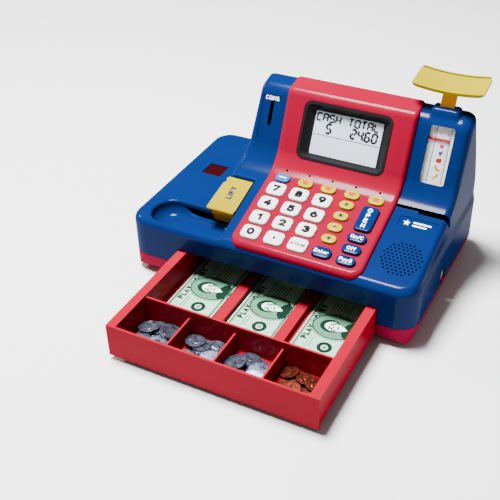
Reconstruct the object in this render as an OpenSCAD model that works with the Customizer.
// Toy cash register: a blue case on a red base, with a red keypad console, a scanner
// window, a coin slot with its scoop, a card groove, a kitchen-scale pan and a cash
// drawer. It stands on the plane z = 0, its front faces -Y, and the origin is the
// centre of the case's footprint. The cash drawer is drawn fully open.

/* [Case] */
// Width of the case, left to right
case_w = 329; // [325:1:333]
// Depth of the case, front to rear
case_d = 216; // [214:1:220]
// Radius of the upright corners of the case
corner_r = 22; // [16:1:26]
// Thickness of the case walls
wall = 2.6; // [2.2:0.1:3]
// Height of the seam between the red base and the blue case
seam_z = 24.5; // [24:0.5:26]
// Height of the flat deck on the left
deck_z = 70; // [69:0.5:72]
// Height of the rear edge of the towers
tower_z = 186; // [184:1:190]

/* [Console] */
// Left edge of the console
console_x0 = -40; // [-42:0.5:-38]
// Width of the console
console_w = 146; // [144:1:148]
// Slope of the keypad, degrees
panel_tilt = 16.5; // [15:0.5:18]
// Slope of the display face, degrees
display_tilt = 65; // [63:0.5:67]
// How far the console stands out of the blue case
console_rise = 4.4; // [3.5:0.1:5.5]

/* [Keys] */
// Distance between the key columns
column_pitch = 26.7; // [26:0.1:27.5]
// Distance between the rows of white keys, along the slope
row_pitch = 20.9; // [20:0.1:21.5]
// How far a key goes in
key_stroke = 2.2; // [1:0.1:2.4]
// Gap between a key and its hole
key_gap = 0.35; // [0.3:0.05:0.5]

/* [Drawer] */
// Width of the cash drawer
drawer_w = 227; // [224:1:228]
// Length of the cash drawer
drawer_l = 200; // [190:1:202]
// How far the drawer is open
drawer_out = 136; // [100:1:140]
// Thickness of the side walls of the drawer
drawer_side = 10.5; // [8:0.5:12]

/* [Scale] */
// Width of the scale pan
pan_w = 75; // [66:1:78]
// Depth of the scale pan
pan_d = 36; // [30:1:40]

/* [Hidden] */

$fn = 40;
arc_step = 9;
eps = 0.01;
half_w = case_w / 2;
half_d = case_d / 2;
foot_h = 2;

blue = "#123f8f";
red = "#c81e34";
berry = "#b02050";
yellow = "#f2e23a";
amber = "#e8a52a";
white = "#f4f4f2";
cyan = "#38bfe0";
black = "#1c1e20";
steel = "#b8bcc2";
board_green = "#1f6b3a";

// The blue slope passes through its height at y = 0, and the keypad lies above it
slope_z = deck_z + half_d * tan(panel_tilt);
panel_z = slope_z + console_rise / cos(panel_tilt);
// The line where the keypad meets the display face
crease_y = 3.6;
crease_z = panel_z + crease_y * tan(panel_tilt);
// The tower faces lie this far behind the display face
tower_back = 5;
tower_y = crease_y + tower_back / sin(display_tilt);
console_x1 = console_x0 + console_w;
console_mid = (console_x0 + console_x1) / 2;
// The raised ridge that the coins run under
ridge_x0 = -85;
ridge_x1 = -52;
ridge_y = -20;
scale_x = 130.5;
// Window in front of the scale's card, and the raised collar round its post
window_x = 132.7;
window_y = 45.8;
window_w = 23.8;
window_h = 59.6;
collar_half = 15;
collar_z = tower_z + 2.6;

function slope_at(y) = slope_z + y * tan(panel_tilt);
function panel_at(y) = panel_z + y * tan(panel_tilt);
function face_y(z) = crease_y + (z - crease_z) / tan(display_tilt);
function tower_face_y(z) = tower_y + (z - crease_z) / tan(display_tilt);

// ---- Outlines: lists of corners [x, y, radius], anticlockwise ----

function unit(v) = v / norm(v);
function flat(p) = [p.x, p.y];
function turn(a, b, c) = (b.x - a.x) * (c.y - b.y) - (b.y - a.y) * (c.x - b.x);

function corner_arc(a, b, c) =
    let (u = unit(flat(a) - flat(b)), v = unit(flat(c) - flat(b)))
    let (half = acos(u * v) / 2, r = b.z)
    let (centre = flat(b) + unit(u + v) * r / sin(half))
    let (start = flat(b) + u * r / tan(half) - centre)
    let (a0 = atan2(start.y, start.x), sweep = (180 - 2 * half) * sign(turn(a, b, c)))
    let (steps = max(2, ceil(abs(sweep) / arc_step)))
    r < 0.05 ? [flat(b)] :
    [for (i = [0:steps]) centre + r * [cos(a0 + sweep * i / steps), sin(a0 + sweep * i / steps)]];

function rounded(c) = let (n = len(c))
    [for (i = [0:n - 1]) each corner_arc(c[(i + n - 1) % n], c[i], c[(i + 1) % n])];

function inset_corner(a, b, c, d) =
    let (u = unit(flat(b) - flat(a)), v = unit(flat(c) - flat(b)))
    let (m = [-u.y - v.y, u.x + v.x] / (1 + u * v))
    [b.x + m.x * d, b.y + m.y * d, b.z < 0.05 ? 0 : max(0.3, b.z - sign(turn(a, b, c)) * d)];

function inset(c, d) = let (n = len(c))
    [for (i = [0:n - 1]) inset_corner(c[(i + n - 1) % n], c[i], c[(i + 1) % n], d)];

function box_outline(x0, x1, y0, y1, r) =
    [[x0, y0, r], [x1, y0, r], [x1, y1, r], [x0, y1, r]];

module along_x(outline, x0, x1) {
    translate([x0, 0, 0]) rotate([90, 0, 90]) linear_extrude(x1 - x0) polygon(rounded(outline));
}

module along_y(outline, y0, y1) {
    translate([0, y1, 0]) rotate([90, 0, 0]) linear_extrude(y1 - y0) polygon(rounded(outline));
}

module along_z(outline, z0, z1) {
    translate([0, 0, z0]) linear_extrude(z1 - z0) polygon(rounded(outline));
}

module block(x0, x1, y0, y1, z0, z1) {
    translate([x0, y0, z0]) cube([x1 - x0, y1 - y0, z1 - z0]);
}

module post(x, y, z0, z1, r) {
    translate([x, y, z0]) cylinder(h = z1 - z0, r = r);
}

// A rod along X
module rod_x(y, z, x0, x1, r) {
    translate([x0, y, z]) rotate([0, 90, 0]) cylinder(h = x1 - x0, r = r);
}

// A rod along Y
module rod_y(x, z, y0, y1, r) {
    translate([x, y1, z]) rotate([90, 0, 0]) cylinder(h = y1 - y0, r = r);
}

// A slab with rounded corners, centred on x and y
module pad(x, y, w, h, r, z0, z1) {
    translate([x, y, z0]) linear_extrude(z1 - z0) {
        square([w, h - 2 * r], center = true);
        square([w - 2 * r, h], center = true);
        for (sx = [-1, 1], sy = [-1, 1]) translate([sx * (w / 2 - r), sy * (h / 2 - r)]) circle(r = r);
    }
}

// Frames that lie on the keypad, the blue slope, the display face and the scale tower:
// local Y runs up the slope and local Z stands out of the surface
module on_panel() { translate([0, 0, panel_z]) rotate([panel_tilt, 0, 0]) children(); }
module on_slope() { translate([0, 0, slope_z]) rotate([panel_tilt, 0, 0]) children(); }
module on_display() { translate([0, crease_y, crease_z]) rotate([display_tilt, 0, 0]) children(); }
module on_tower() { on_display() translate([0, 0, -tower_back]) children(); }

// ---- The case ----

low = seam_z - 20;
back_top = 66;
front_edge_r = 8;

deck_outline = [[-half_d, low, 0], [half_d, low, 0], [half_d, deck_z, 8], [-half_d, deck_z, front_edge_r]];

function foot_y(tower_front) = (slope_z - crease_z + tower_front * tan(display_tilt))
    / (tan(display_tilt) - tan(panel_tilt));

tower_top_y = tower_face_y(tower_z - 6.5);

// Side view of the sloped body with a tower at its rear, from a given front edge
function body_outline(front, front_r) = [[front, low, 0], [half_d, low, 0], [half_d, 60, 24],
    [back_top, tower_z, 6], [tower_top_y, tower_z - 6.5, 7],
    [foot_y(tower_y), slope_at(foot_y(tower_y)), 15], [front, slope_at(front), front_r]];

// Front view of what stands above the deck
body_front = [[ridge_x0, low, 0], [half_w, low, 0], [half_w - 1.5, tower_z + 2, 12],
    [-74, tower_z + 2, 14], [-79, 112, 60], [ridge_x0, 92, 20]];

plan_outline = box_outline(-half_w, half_w, -half_d, half_d, corner_r);

// The outer volume of the blue case, or with g > 0 the space that far inside it
module case_volume(g, z0) {
    intersection() {
        along_z(inset(plan_outline, g), z0, 200);
        union() {
            along_x(inset(deck_outline, g), -half_w, half_w);
            intersection() {
                union() {
                    along_x(inset(body_outline(-half_d, front_edge_r), g), ridge_x1 + g, half_w);
                    along_x(inset(body_outline(ridge_y, 0), g), ridge_x0, ridge_x1 + 10);
                }
                along_y(inset(body_front, g), -half_d, half_d);
            }
        }
    }
}

// Side view of the console, open into the case below it
console_top_y = face_y(183.2);
console_outline = [[-half_d + 1.2, low, 0], [64, low, 0], [64, tower_z + 1.5, 6],
    [console_top_y, 183.2, 5], [crease_y, crease_z, 13],
    [-half_d + 1.2, panel_at(-half_d + 1.2), 4]];
console_plan = [[console_x0, -half_d + 1.2, 13], [console_x1, -half_d + 1.2, 13],
    [console_x1, 64, 3], [console_x0, 64, 3]];

module console_volume(g) {
    intersection() {
        along_x(inset(console_outline, g), console_x0, console_x1);
        along_z(inset(console_plan, g), low + 20, 200);
    }
}

// The scoop that returned coins fall into
scoop_z = 54;
scoop_x0 = -146;
scoop_x1 = -53;
scoop_y0 = -101;
scoop_y1 = -58;
scoop_r = 12;

module scoop(g, top) {
    intersection() {
        along_z(box_outline(scoop_x0 - g, scoop_x1 + g, scoop_y0 - g, scoop_y1 + g, 19), scoop_z - g, top);
        along_x(box_outline(scoop_y0 - g, scoop_y1 + g, scoop_z - g, top + 40, scoop_r), scoop_x0 - 9, scoop_x1 + 9);
        along_y(box_outline(scoop_x0 - g, scoop_x1 + g, scoop_z - g, top + 40, scoop_r), scoop_y0 - 9, scoop_y1 + 9);
    }
}

// The opening under the coin door, and the way that coins take below its hinge
module coin_way() {
    block(ridge_x0 + 1, ridge_x1 - 1, -71, ridge_y - 3.4, deck_z - 6, 104);
    block(ridge_x0 + wall, ridge_x1 - 1, ridge_y - 4, ridge_y + wall + 1, deck_z, pin_z - barrel_r - 1);
    block(-122, ridge_x1 - 1, -62, -54, scoop_z + 3, deck_z - 5);
}

// Card groove at the foot of the scale tower: narrow on the left, wider on the right
groove_y = -8;
groove_deep = 14;
module card_groove(side, below) {
    on_slope() {
        block(console_x1 - 2, half_w + 10, groove_y - side, groove_y + 3 + side, -groove_deep - below, 6);
        block(scale_x, half_w + 10, groove_y - 3 - side, groove_y + 3 + side, -groove_deep - below, 6);
    }
}

speaker_x = 135;
speaker_y = -72;
hole_pitch = 4.4;
hole_field = 21;
module speaker_holes() {
    on_slope() translate([speaker_x, speaker_y, 0])
        for (row = [-5:5], col = [-5:5]) {
            x = (col + (row % 2 == 0 ? 0 : 0.5)) * hole_pitch;
            y = row * hole_pitch * sin(60);
            if (norm([x, y]) < hole_field) translate([x, y, -wall - 1]) cylinder(h = wall + 2, r = 1.1, $fn = 16);
        }
}

// Hinge of the coin door: the axis lies just under the blue slope
pin_y = ridge_y - 4.2;
pin_z = slope_at(pin_y) - 3.4;
pin_r = 1.2;
barrel_r = 3;

screw_places = [[-122, -84], [-122, 84], [150, -38], [146, 62]];
boss_top = 62;
screw_r = 1.5;

scan_x = -124.3;
scan_y = 18;
scan_w = 24;
scan_d = 23;

drawer_x0 = -101.3;
drawer_x1 = drawer_x0 + drawer_w;
drawer_y0 = -half_d - drawer_out - 0.4;
drawer_bottom = 9.5;
drawer_top = 43.1;
module drawer_mouth() { block(drawer_x0 - 1.2, drawer_x1 + 1.6, -half_d - 5, -half_d + 14, 4.4, drawer_top + 1.4); }

knob_y = -15;
knob_z = 34;

// Coin slot in the left tower
slot_x = -57.5;
slot_y = 52.5;
slot_w = 4.4;
slot_h = 27;

module upper_case() {
    color(blue) difference() {
        union() {
            difference() {
                case_volume(0, seam_z);
                case_volume(wall, seam_z - 1);
            }
            intersection() {
                case_volume(0, seam_z);
                union() {
                    scoop(2, deck_z);
                    card_groove(1.4, 1.4);
                    for (p = screw_places) post(p.x, p.y, seam_z, boss_top + (p.x > 0 ? 40 : 8), 4);
                    on_slope() translate([speaker_x, speaker_y, -wall - 5])
                        difference() {
                            cylinder(h = 6, r = 25);
                            translate([0, 0, -1]) cylinder(h = 8, r = 23.4);
                        }
                    // seats of the scale spring and the scale card
                    on_tower() block(scale_x - 8, scale_x + 8, 4, 6.5, -17, -1);
                    on_tower() block(148.2, 150.4, 16, 80, -7, -1);
                    // ears of the coin door's hinge
                    block(ridge_x0, ridge_x0 + wall, ridge_y - 11, ridge_y + 4, deck_z - 2, 104);
                    block(ridge_x1, ridge_x1 + wall, ridge_y - 11, ridge_y + 6, deck_z + 8, 104);
                    // shelf under the coin chute, and a rib that holds the rear boss
                    block(ridge_x0 + 1, ridge_x1 + 2, ridge_y - 3.4, chute_y1, deck_z - wall, deck_z);
                    block(148, half_w - 1, 60.5, 63.5, seam_z, 90);
                    // cheeks of the drawer latch
                    for (s = [-1, 1]) block(latch_x + s * 6 - 1.5, latch_x + s * 6 + 1.5,
                        latch_y - 6, latch_y + 6, latch_z - 4, 102);
                }
            }
            // collar round the scale post, cut level at its top
            intersection() {
                on_tower() block(scale_x - collar_half, scale_x + collar_half, 78, 105, post_mid - 7, post_mid + 6.5);
                block(0, half_w, 0, half_d, tower_z - 20, collar_z);
            }
        }
        // the space under the console
        console_volume(wall);
        drawer_mouth();
        scoop(0, deck_z + 20);
        coin_way();
        card_groove(0, 0);
        speaker_holes();
        on_slope() pad(135, -26, 40, 14.5, 2, -0.7, 5);
        block(scan_x - scan_w / 2, scan_x + scan_w / 2, scan_y - scan_d / 2, scan_y + scan_d / 2, 60, 80);
        // coin slot and its shallow panel
        on_tower() pad(slot_x - 0.5, slot_y - 5.3, 23, 49.5, 4, -0.8, 5);
        on_tower() pad(slot_x, slot_y, slot_w, slot_h, 1.2, -8, 5);
        // window and post slot of the scale
        on_tower() pad(window_x, window_y, window_w, window_h, 3, -6, 5);
        on_tower() pad(scale_x, 85, post_w + 0.6, 50, 0.5, post_mid - post_t / 2 - 0.3, post_mid + post_t / 2 + 0.3);
        // screw holes
        for (p = screw_places) post(p.x, p.y, seam_z - 1, 42, screw_r + 0.05);
        rod_x(pin_y, pin_z, ridge_x0 - 1, ridge_x1 + wall + 1, pin_r + 0.03);
        rod_x(latch_y, latch_z, latch_x - 10, latch_x + 10, latch_r + 0.05);
        // arched window of the volume knob
        along_x([[knob_y - 7, seam_z - 5, 0], [knob_y + 7, seam_z - 5, 0], [knob_y + 7, knob_z + 9, 6],
            [knob_y - 7, knob_z + 9, 6]], half_w - 9, half_w + 5);
    }
}

base_side = [[-half_d + 4, foot_h, 13], [half_d - 4, foot_h, 13], [half_d + 6.2, 60, 0], [-half_d - 6.2, 60, 0]];
base_front = [[-half_w + 4, foot_h, 13], [half_w - 4, foot_h, 13], [half_w + 6.2, 60, 0], [-half_w - 6.2, 60, 0]];

module base_volume(g, z1) {
    intersection() {
        along_z(inset(plan_outline, g), 0, z1);
        along_x(inset(base_side, g), -half_w - 5, half_w + 5);
        along_y(inset(base_front, g), -half_d - 5, half_d + 5);
    }
}

rail_x = [-60, 12, 84];
battery_x = [-148, -132, -116];
battery_y0 = -30;
battery_y1 = 20;
battery_z = 13.2;
door_screw = [-132, 27];
door_z = 0.5;
feet = [for (x = [-134, 134], y = [-76, 80]) [x, y]];
foot_r = 7;
foot_deep = 1.5;

module lower_case() {
    color(berry) difference() {
        union() {
            difference() {
                base_volume(0, seam_z);
                base_volume(wall, seam_z + 1);
            }
            along_z(inset(plan_outline, 16), 0, foot_h + 1);
            intersection() {
                base_volume(0.5, seam_z);
                union() {
                    for (x = rail_x) block(x - 3, x + 3, -96, 96, 3, drawer_bottom - 0.3);
                    block(drawer_x0 - 3.1, drawer_x0 - 0.6, -98, 98, 3, seam_z);
                    block(drawer_x1 + 0.6, drawer_x1 + 3.1, -98, 98, 3, seam_z);
                    // stop of the drawer
                    block(20, 60, -56, -51.5, 3, drawer_bottom - 0.8);
                    for (p = screw_places) post(p.x, p.y, 3, seam_z, 5);
                    // walls of the battery box
                    block(-158, -106, battery_y0 - 3, battery_y0 - 0.5, 3, 22);
                    block(-158, -106, battery_y1 + 0.5, battery_y1 + 3, 3, 22);
                    block(-108.2, -106, battery_y0 - 3, battery_y1 + 3, 3, 22);
                    block(-158, -156.4, battery_y0 - 3, battery_y1 + 3, 3, 22);
                    post(door_screw.x, door_screw.y, 3, 12, 3);
                    // foot of the volume control
                    block(half_w - 18, half_w - 9.6, knob_y - 4, knob_y + 4, 3, knob_z - 7);
                    // seat of the drawer spring
                    block(4, 20, 98, 104, 3, seam_z);
                    // tab behind the arched window
                    block(half_w - 8.5, half_w - 4.2, knob_y - 5.5, knob_y + 5.5, 3, seam_z);
                }
            }
        }
        drawer_mouth();
        block(-155.4, -109.2, battery_y0 - 0.4, battery_y1 + 0.4, -1, 4.7);
        block(-137.3, -126.7, battery_y1 - 1, 32, -1, 3.1);
        for (p = feet) post(p.x, p.y, -1, foot_deep, foot_r);
        block(-142.3, -121.7, battery_y0 - 4, battery_y0 + 1, foot_h + wall, 6.2);
        for (p = screw_places) {
            post(p.x, p.y, -1, 6.4, 3.6);
            post(p.x, p.y, -1, 30, screw_r + 0.3);
        }
        post(door_screw.x, door_screw.y, 0, 30, 1.05);
    }
}

module battery_door() {
    color(berry) difference() {
        union() {
            block(-155.1, -109.5, battery_y0 - 0.1, battery_y1 + 0.1, door_z, 3.1);
            block(-137, -127, battery_y1 - 1, 31.7, door_z, 3.1);
            block(-142, -122, battery_y0 - 0.1, battery_y0 + 2, door_z, 5.8);
            block(-142, -122, battery_y0 - 3.4, battery_y0 + 2, foot_h + wall, 5.8);
        }
        post(door_screw.x, door_screw.y, 0, 1.8, 2.3);
        post(door_screw.x, door_screw.y, 0, 30, 1.2);
        for (i = [0:3]) block(-140, -124, 4 * i - 16, 4 * i - 14, 0, door_z + 0.8);
    }
}

module batteries() {
    color("#3c4a3c") for (i = [0:2]) {
        up = i % 2 == 0;
        rod_y(battery_x[i], battery_z, battery_y0 + (up ? 0 : 1.2), battery_y1 - (up ? 1.2 : 0), 7.1);
        rod_y(battery_x[i], battery_z, battery_y0, battery_y1, 2.7);
    }
}

module battery_contacts() {
    color(steel) for (x = battery_x) {
        block(x - 5, x + 5, battery_y0 - 0.5, battery_y0, 7, 20);
        block(x - 5, x + 5, battery_y1, battery_y1 + 0.5, 7, 20);
    }
}

module screws() {
    color(steel) {
        for (p = screw_places) {
            post(p.x, p.y, 4.4, 6.4, 3.1);
            post(p.x, p.y, 6.4 - eps, 38, screw_r);
        }
        for (p = board_screws) on_panel() {
            post(p.x, p.y, board_z - 1.4, board_z, 2.2);
            post(p.x, p.y, board_z - eps, board_z + 8, 1);
        }
        post(door_screw.x, door_screw.y, door_z, 1.8, 2.2);
        post(door_screw.x, door_screw.y, 1.8 - eps, 11, 1);
    }
}

module rubber_feet() {
    color(black) for (p = feet) post(p.x, p.y, 0, foot_deep, foot_r - 0.05);
}

// ---- Console, display and board ----

function column(i) = console_x0 + 19.3 + i * column_pitch;
function row(j) = -94.3 + j * row_pitch;

// Key holes and keys: [x, y, width, height, corner radius]
white_keys = [for (j = [0:3], i = [0:2]) [column(i), row(j), 20.2, 16.6, 4.6]];
oval_y = -14.8;
oval_keys = [for (i = [0:4]) [column(i), oval_y, 16.6, 10.6, 5.2]];
sign_keys = [for (j = [0:3]) [column(3), -76.9 + 15.8 * j, 15.8, 10.6, 5.2]];
enter_key = [column(3), -95.6, 20.6, 13.4, 6];
open_key = [column(4), -40.9, 18.4, 33, 4.5];
blue_keys = [for (j = [0:2]) [column(4), -97.5 + 15.2 * j, 20, 11.4, 5.4]];
all_keys = concat(white_keys, oval_keys, sign_keys, blue_keys, [enter_key, open_key]);

board_z = -12.4;
membrane_z = -10.8;
lamp_y = -3.4;
board_screws = [[console_x0 + 5.1, -84], [console_x0 + 5.1, -8], [console_x1 - 5.5, -8], [column(2) + 14.4, -80]];
bezel_x = console_mid;
bezel_y = 43.4;
bezel_w = 100.5;
bezel_h = 63.8;
glass_w = 77;
glass_h = 47;
bezel_deep = 8;

module console_cover() {
    color(red) difference() {
        union() {
            difference() {
                console_volume(0);
                console_volume(wall);
                case_volume(0, seam_z);
            }
            on_panel() for (p = board_screws) post(p.x, p.y, membrane_z, -wall + 0.5, 2.2);
        }
        on_panel() {
            for (k = all_keys) pad(k[0], k[1], k[2] + 2 * key_gap, k[3] + 2 * key_gap, k[4] + key_gap, -5, 5);
            for (i = [0:4]) post(column(i), lamp_y, -6, 5, 1.1);
            for (p = board_screws) post(p.x, p.y, -20, -4, 1.05);
        }
        on_display() pad(bezel_x, bezel_y, bezel_w, bezel_h, 9, -9, 9);
    }
}

module display_bezel() {
    color(black) on_display() difference() {
        union() {
            pad(bezel_x, bezel_y, bezel_w - 0.4, bezel_h - 0.4, 8.8, -bezel_deep, -0.4);
            pad(bezel_x, bezel_y, bezel_w + 5, bezel_h + 5, 8.8, -bezel_deep, -wall);
        }
        pad(bezel_x, bezel_y - 1, glass_w, glass_h, 1, -20, 10);
    }
}

module lcd_module() {
    color("#cdd2de") on_display() {
        pad(bezel_x, bezel_y - 1, glass_w + 5, glass_h + 5, 1, -bezel_deep - 3, -bezel_deep);
        pad(bezel_x, bezel_y - 1, glass_w - 0.4, glass_h - 0.4, 1, -bezel_deep - eps, -bezel_deep + 0.6);
    }
}

module indicator_lamps() {
    color("#4a1418") on_panel() for (i = [0:4]) post(column(i), lamp_y, membrane_z, -0.2, 1);
}

module main_board() {
    color(board_green) on_panel() difference() {
        block(console_x0 + 4, console_x1 - 3.4, -107, -1.5, board_z, membrane_z);
        for (p = board_screws) post(p.x, p.y, -20, 0, 1.2);
        block(open_key[0] - 4, open_key[0] + 4, open_key[1] - 4, open_key[1] + 4, -20, 0);
    }
}

module key_membrane() {
    color("#a8a8a4") on_panel() difference() {
        block(console_x0 + 8.5, console_x1 - 9.5, -104.5, -9, membrane_z, membrane_z + 1.1);
        for (p = board_screws) post(p.x, p.y, -20, 0, 2.5);
        block(open_key[0] - 5, open_key[0] + 5, open_key[1] - 5, open_key[1] + 5, -20, 0);
    }
}

// A key: cap, collar under the cover and a plunger that stops short of the membrane
key_collar = -wall - 0.3;
module key(k, rise, tint) {
    color(tint) on_panel() {
        pad(k[0], k[1], k[2], k[3], k[4], key_collar - 0.6, rise);
        pad(k[0], k[1], k[2] + 1.8, k[3] + 1.8, k[4] + 0.9, key_collar - 1.4, key_collar);
        pad(k[0], k[1], 6, 6, 1, membrane_z + 1.4 + key_stroke, key_collar - 1.3);
    }
}

// ---- Scanner, coins ----

module scanner_window() {
    color("#5a1014") {
        block(scan_x - scan_w / 2 + 0.2, scan_x + scan_w / 2 - 0.2,
            scan_y - scan_d / 2 + 0.2, scan_y + scan_d / 2 - 0.2, deck_z - wall - 0.1, deck_z - 1);
        block(scan_x - scan_w / 2 - 1.5, scan_x + scan_w / 2 + 1.5,
            scan_y - scan_d / 2 - 1.5, scan_y + scan_d / 2 + 1.5, deck_z - wall - 1.5, deck_z - wall);
    }
}

module scanner_lamp() {
    color("#d02020") {
        block(scan_x - 16, scan_x + 16, scan_y - 6, scan_y + 6, 52, 53.6);
        for (s = [-1, 1]) block(scan_x + s * 15 - 1, scan_x + s * 15 + 1, scan_y - 6, scan_y + 6, 53, deck_z - wall);
        post(scan_x, scan_y, 53.5, 60, 2.5);
    }
}

// A trough that slopes from below the coin slot down to the scoop
chute_y0 = -55.6;
chute_y1 = 40;
module coin_chute() {
    side = [[chute_y0, 57.2, 0], [ridge_y - 3.4, deck_z, 0], [chute_y1, deck_z, 0], [chute_y1, 88, 3],
        [ridge_y, 81, 12], [chute_y0, 64.6, 0]];
    trough = [[chute_y0 - 1, 58.4, 0], [ridge_y - 4, 71.4, 20], [chute_y1 - 1.6, 80, 0],
        [chute_y1 - 1.6, 130, 0], [chute_y0 - 1, 130, 0]];
    color("#d8d4c8") difference() {
        along_x(side, ridge_x0 + wall, ridge_x1 - 1.4);
        along_x(trough, ridge_x0 + wall + 1.6, ridge_x1 - 3);
    }
}

// Coin door: a hood that closes the front of the ridge and lifts about its rear edge
door_front = -70;
door_plan = [[ridge_x0 - 0.8, -74, 2], [-60, -74, 4], [ridge_x1 - 0.6, door_front, 5], [ridge_x1 - 0.6, -20, 0],
    [ridge_x0 + 3.4, -20, 0], [ridge_x0 + 2.4, -33, 0], [ridge_x0 + 0.8, -35.4, 0]];
door_skirt = [[-77, 60, 0], [ridge_x1 - 1.8, 60, 0], [ridge_x1 - 1.2, 101, 0], [ridge_x0 + 3, 101, 0]];
module coin_door() {
    ear_clear = ridge_y - 11.6;
    hood = [[door_front + 3, deck_z - 4, 0], [door_front + 14, deck_z - 4, 3], [pin_y, pin_z - 7, 3],
        [pin_y + 0.1, slope_at(pin_y) - 0.05, 0], [door_front, slope_at(door_front) - 0.05, 2.5]];
    color(yellow) difference() {
        union() {
            difference() {
                intersection() {
                    along_x(hood, ridge_x0 - 1, ridge_x1);
                    union() {
                        along_y(door_skirt, door_front - 1, pin_y + 1);
                        intersection() {
                            on_slope() along_z(door_plan, -3, 0);
                            block(ridge_x0 - 2, ridge_x1, door_front, pin_y + 4, 60, 110);
                        }
                    }
                }
                translate([0, 0, -2.6]) along_x([[door_front + 6, deck_z - 30, 0], [pin_y - 6, pin_z - 30, 0],
                    [pin_y - 6, slope_at(pin_y - 6), 0], [door_front + 3, slope_at(door_front + 3), 0]],
                    ridge_x0 + 2.8, ridge_x1 - 2.8);
                block(ridge_x0 - 1, ridge_x0 + wall + 0.4, ear_clear, 0, deck_z - 10, 120);
                rod_x(pin_y, pin_z, ridge_x0 - 1, ridge_x1 + 1, barrel_r);
            }
            rod_x(pin_y, pin_z, ridge_x0 + wall + 0.4, ridge_x1 - 0.5, barrel_r);
        }
        rod_x(pin_y, pin_z, ridge_x0 - 1, ridge_x1 + 1, pin_r + 0.04);
        block(ridge_x0 - 1, ridge_x1 + 1, pin_y - 8, pin_y + 8, deck_z - 10, pin_z - barrel_r - 0.1);
    }
}

module coin_door_pin() {
    color(steel) rod_x(pin_y, pin_z, ridge_x0 + 0.4, ridge_x1 + wall - 0.3, pin_r);
}

// ---- Card groove switch, speaker, volume knob ----

module swipe_switch() {
    color(black) on_slope() {
        block(128, 140, groove_y - 6, groove_y + 8, -groove_deep - 8, -groove_deep - 1.4);
    }
}

module speaker() {
    color("#2a2a2c") on_slope() translate([speaker_x, speaker_y, 0]) {
        translate([0, 0, -wall - 4]) cylinder(h = 4, r = 23.4);
        translate([0, 0, -wall - 12]) cylinder(h = 8 + eps, r = 11);
    }
}

module volume_knob() {
    color(yellow) {
        rod_x(knob_y, knob_z, half_w - 5.6, half_w - 1.2, 4.6);
        rod_x(knob_y, knob_z, half_w - 16, half_w - 5.6 + eps, 1.5);
    }
}

module volume_pot() {
    color("#707478") difference() {
        rod_x(knob_y, knob_z, half_w - 18, half_w - 9.6, 7);
        rod_x(knob_y, knob_z, half_w - 16.4, half_w, 1.55);
    }
}

// ---- Scale ----

card_deep = 6.3;
module scale_card() {
    color(white) on_tower() block(scale_x - 11.4, 148.2, 13, 76, -card_deep, -card_deep + 0.5);
}

module scale_window() {
    color("#dfe8ee") on_tower() {
        pad(window_x, window_y, window_w - 0.4, window_h - 0.4, 2.8, -wall - 0.1, -wall + 1.2);
        pad(window_x, window_y, window_w + 3, window_h + 1.2, 2.8, -wall - 0.8, -wall);
    }
}

pointer_y = 62;
module scale_pointer() {
    color("#d8203c") on_tower() {
        block(scale_x - 15.6, scale_x + 11, pointer_y - 1.1, pointer_y + 1.1, -card_deep + 1.2, -card_deep + 2.4);
        block(scale_x - 15.6, scale_x - 12.4, pointer_y - 4, pointer_y + 4, -post_deep, -card_deep + 2.4);
    }
}

post_y0 = 34;
post_y1 = 116;
post_w = 15;
post_deep = 7.2;
post_t = 4.3;
post_mid = -post_deep - post_t / 2;
module scale_post() {
    color(amber) difference() {
        on_tower() post_outline();
        on_pan() block(-40, 40, -30, 30, 0, 30);
    }
}

module post_outline() {
    union() {
        block(scale_x - post_w / 2, scale_x + post_w / 2, post_y0, post_y1, -post_deep - post_t, -post_deep);
        block(scale_x - 15.6, scale_x - 7, pointer_y - 4, pointer_y + 4, -post_deep - post_t, -post_deep);
        block(scale_x - 9.5, scale_x + 9.5, post_y1 - 2.5, post_y1, post_mid - 3.4, post_mid + 3.4);
    }
}

module scale_spring() {
    color(steel) on_tower() translate([scale_x, 0, post_mid]) rotate([-90, 0, 0]) difference() {
        translate([0, 0, 6.5]) cylinder(h = post_y0 - 6.5, r = 2.8);
        translate([0, 0, 6]) cylinder(h = post_y0, r = 2);
    }
}

// Where the post's head ends, in the case's own axes
function tower_point(y, z) = [
    crease_y + y * cos(display_tilt) - (z - tower_back) * sin(display_tilt),
    crease_z + y * sin(display_tilt) + (z - tower_back) * cos(display_tilt)];
pan_foot = tower_point(post_y1, post_mid);
pan_tilt = 8;
pan_bow_r = 190;
pan_t = 2;

pan_x = scale_x - 1.5;
pan_back = 3;

// Axes of the pan: its underside touches z = 0 in the middle
module on_pan() {
    translate([pan_x, pan_foot.x + pan_back, pan_foot.y]) rotate([pan_tilt, 0, 0]) children();
}

module scale_pan() {
    half_bow = asin(pan_w / 2 / pan_bow_r);
    steps = 12;
    under = [for (i = [0:steps]) let (a = -half_bow + 2 * half_bow * i / steps)
        [pan_bow_r * sin(a), pan_bow_r * (1 - cos(a)), 0]];
    over = [for (i = [0:steps]) let (a = half_bow - 2 * half_bow * i / steps)
        [(pan_bow_r - pan_t) * sin(a), pan_bow_r - (pan_bow_r - pan_t) * cos(a), 0]];
    color(yellow) on_pan()
        intersection() {
            union() {
                along_y(concat(under, over), -pan_d / 2, pan_d / 2);
                for (s = [-1, 1]) along_y(concat(
                    [for (p = under) [p.x, p.y + pan_t - 0.5, 0]],
                    [for (p = over) [p.x, p.y + 1.4, 0]]),
                    s > 0 ? pan_d / 2 - 1.8 : -pan_d / 2, s > 0 ? pan_d / 2 : -pan_d / 2 + 1.8);
            }
            along_z(box_outline(-pan_w / 2, pan_w / 2, -pan_d / 2, pan_d / 2, 6), -20, 40);
        }
}

// ---- Drawer ----

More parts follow.
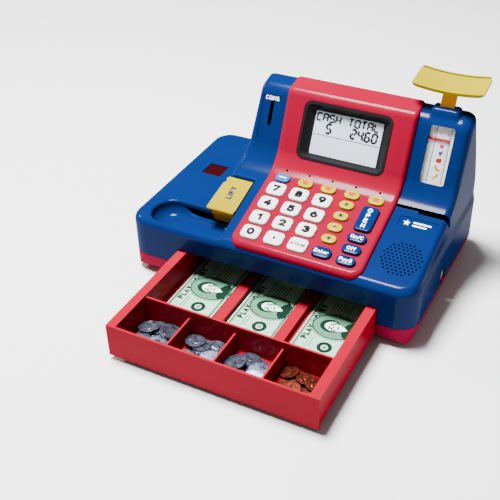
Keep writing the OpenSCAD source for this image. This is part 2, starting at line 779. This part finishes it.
inner_x0 = drawer_x0 + drawer_side;
inner_x1 = drawer_x1 - drawer_side;
inner_w = inner_x1 - inner_x0;
floor_z = 12;
cross_y = -189;
front_t = 2.6;
cross_t = 2.4;
divider_top = 33;
cross_top = 41;
note_wall = 12;
note_wall_top = 19;
drawer_end = drawer_y0 + drawer_l;

function bin_x(i) = inner_x0 + inner_w * i / 4;
function note_x(i) = inner_x0 + inner_w * i / 3;

module drawer() {
    color(red) difference() {
        union() {
            block(drawer_x0, drawer_x1, drawer_y0, drawer_y0 + front_t, 4.9, drawer_top);
            block(drawer_x0, drawer_x1, drawer_y0 + front_t - eps, drawer_end, drawer_bottom, drawer_top);
            // tab that meets the stop
            block(24, 56, drawer_end - 5, drawer_end, drawer_bottom - 1.6, drawer_bottom + 1);
        }
        for (i = [0:3]) block(bin_x(i) + (i > 0 ? 1.1 : 0), bin_x(i + 1) - (i < 3 ? 1.1 : 0),
            drawer_y0 + front_t, cross_y, floor_z, 60);
        block(inner_x0, inner_x1, drawer_y0 + front_t, cross_y, divider_top, 60);
        for (i = [0:2]) block(note_x(i) + (i > 0 ? note_wall / 2 : 0), note_x(i + 1) - (i < 2 ? note_wall / 2 : 0),
            cross_y + cross_t, drawer_end - 3, floor_z, 60);
        block(inner_x0, inner_x1, cross_y + cross_t, drawer_end - 3, note_wall_top, 60);
        block(inner_x0, inner_x1, cross_y - 1, drawer_end - 2.9, cross_top, 60);
        // the side walls are hollow below
        for (x = [drawer_x0 + drawer_side / 2, drawer_x1 - drawer_side / 2])
            block(x - drawer_side / 2 + 2.4, x + drawer_side / 2 - 2.4, drawer_y0 + 6, drawer_end - 3, 0, drawer_top - 2.6);
        // notch that the latch drops into when the drawer is shut
        block(latch_x - 5, latch_x + 5, latch_nose_y - drawer_out - 4, latch_nose_y - drawer_out + 5, 38, 60);
    }
}

coin_t = 1.8;
module coin(x, y, layer, r) {
    translate([x, y, floor_z + 0.05 + layer * (coin_t + 0.1)]) cylinder(h = coin_t, r = r);
}

module coin_heap(i, r) {
    x = (bin_x(i) + bin_x(i + 1)) / 2;
    y = (drawer_y0 + front_t + cross_y) / 2;
    for (s = [-1, 1], t = [-1, 1]) coin(x + s * (r + 0.6), y + t * (r + 0.6), 0, r);
    for (s = [-1, 1]) coin(x + s * (r + 0.8), y - 3 * s, 1, r);
    for (s = [-1, 1]) coin(x + 3 * s, y + s * (r + 0.8), 2, r);
    coin(x - 4, y - 4, 3, r);
}

module silver_coins() {
    color("#b9bcc4") {
        coin_heap(0, 11.6);
        coin_heap(1, 10.6);
        coin_heap(2, 11.2);
    }
}

module copper_coins() { color("#b0643c") coin_heap(3, 9.6); }

note_w = 54;
note_l = 132;
module play_notes() {
    color("#cfe6cf") for (i = [0:2]) {
        x = (note_x(i) + note_x(i + 1)) / 2 + (i - 1) * note_wall / 4;
        block(x - note_w / 2, x + note_w / 2, cross_y + cross_t + 2, cross_y + cross_t + 2 + note_l,
            floor_z + 0.05, floor_z + 1.6);
    }
}

spring_x = 12;
spring_z = 17;
spring_front = 58;
module drawer_spring() {
    turns = 9;
    wire = 1.6;
    length = 98 - spring_front;
    color(steel) translate([spring_x, spring_front, spring_z]) rotate([-90, 0, 0])
        difference() {
            cylinder(h = length, r = 6);
            translate([0, 0, -1]) cylinder(h = length + 2, r = 6 - wire);
            for (i = [1:turns - 1]) translate([0, 0, i * length / turns])
                rotate_extrude() translate([6, 0]) circle(r = 0.9, $fn = 16);
        }
}

// ---- Drawer latch: a lever under the OPEN key with its nose over the drawer's rim ----

latch_x = column(4) + 32.5;
latch_y = 6;
latch_z = 66;
latch_r = 2;
latch_nose_y = 44;
latch_tip_z = drawer_top + 0.6;
open_point = [open_key[0], open_key[1] * cos(panel_tilt), panel_z + open_key[1] * sin(panel_tilt)];
module drawer_latch() {
    push_y = open_point.y + 9;
    lever = [[push_y - 4, latch_z - 1, 1], [latch_y, latch_z - 3, 2], [latch_nose_y - 2, latch_z - 3, 1],
        [latch_nose_y - 2, latch_tip_z, 0.5], [latch_nose_y + 3, latch_tip_z + 2, 0.5],
        [latch_nose_y + 3, latch_z + 3, 2], [latch_y, latch_z + 3.5, 4], [push_y - 4, latch_z + 2.5, 1]];
    color(white) {
        along_x(lever, latch_x - 2.5, latch_x + 2.5);
        along_x([[push_y - 4, latch_z - 1, 0.5], [push_y + 4, latch_z - 1, 0.5], [push_y + 4, latch_z + 2.5, 0.5],
            [push_y - 4, latch_z + 2.5, 0.5]], open_key[0] - 5, latch_x);
        rod_x(latch_y, latch_z, latch_x - 7.4, latch_x + 7.4, latch_r);
    }
}

// The OPEN key has a long plunger that reaches the latch through the board
module key_open() {
    key(open_key, 3.6, blue);
    color(blue) on_panel() block(open_key[0] - 3, open_key[0] + 3, open_key[1] - 3, open_key[1] + 3,
        -26.4, key_collar - 1.3);
}

lower_case();
upper_case();
console_cover();
display_bezel();
lcd_module();
indicator_lamps();
main_board();
key_membrane();
scanner_window();
scanner_lamp();
coin_chute();
scale_card();
scale_window();
speaker();
batteries();
battery_contacts();
battery_door();
screws();
rubber_feet();
swipe_switch();
scale_spring();
coin_door_pin();
volume_pot();
drawer_spring();
coin_door();
volume_knob();
drawer_latch();
scale_pan();
scale_post();
scale_pointer();
drawer();
silver_coins();
copper_coins();
play_notes();
key(white_keys[9], 3, white);  // key_7
key(white_keys[10], 3, white);  // key_8
key(white_keys[11], 3, white);  // key_9
key(white_keys[6], 3, white);  // key_4
key(white_keys[7], 3, white);  // key_5
key(white_keys[8], 3, white);  // key_6
key(white_keys[3], 3, white);  // key_1
key(white_keys[4], 3, white);  // key_2
key(white_keys[5], 3, white);  // key_3
key(white_keys[0], 3, white);  // key_0
key(white_keys[1], 3, white);  // key_point
key(white_keys[2], 3, white);  // key_equals
key(enter_key, 3.4, blue);  // key_enter
key(sign_keys[0], 3, yellow);  // key_plus
key(sign_keys[1], 3, yellow);  // key_minus
key(sign_keys[2], 3, yellow);  // key_times
key(sign_keys[3], 3, yellow);  // key_divide
key(oval_keys[0], 3, cyan);  // key_cyan
key(oval_keys[1], 3, yellow);  // key_yellow_1
key(oval_keys[2], 3, yellow);  // key_yellow_2
key(oval_keys[3], 3, yellow);  // key_yellow_3
key(oval_keys[4], 3, yellow);  // key_yellow_4
key_open();
key(blue_keys[0], 3.4, blue);  // key_pay
key(blue_keys[1], 3.4, blue);  // key_off
key(blue_keys[2], 3.4, blue);  // key_on_clear
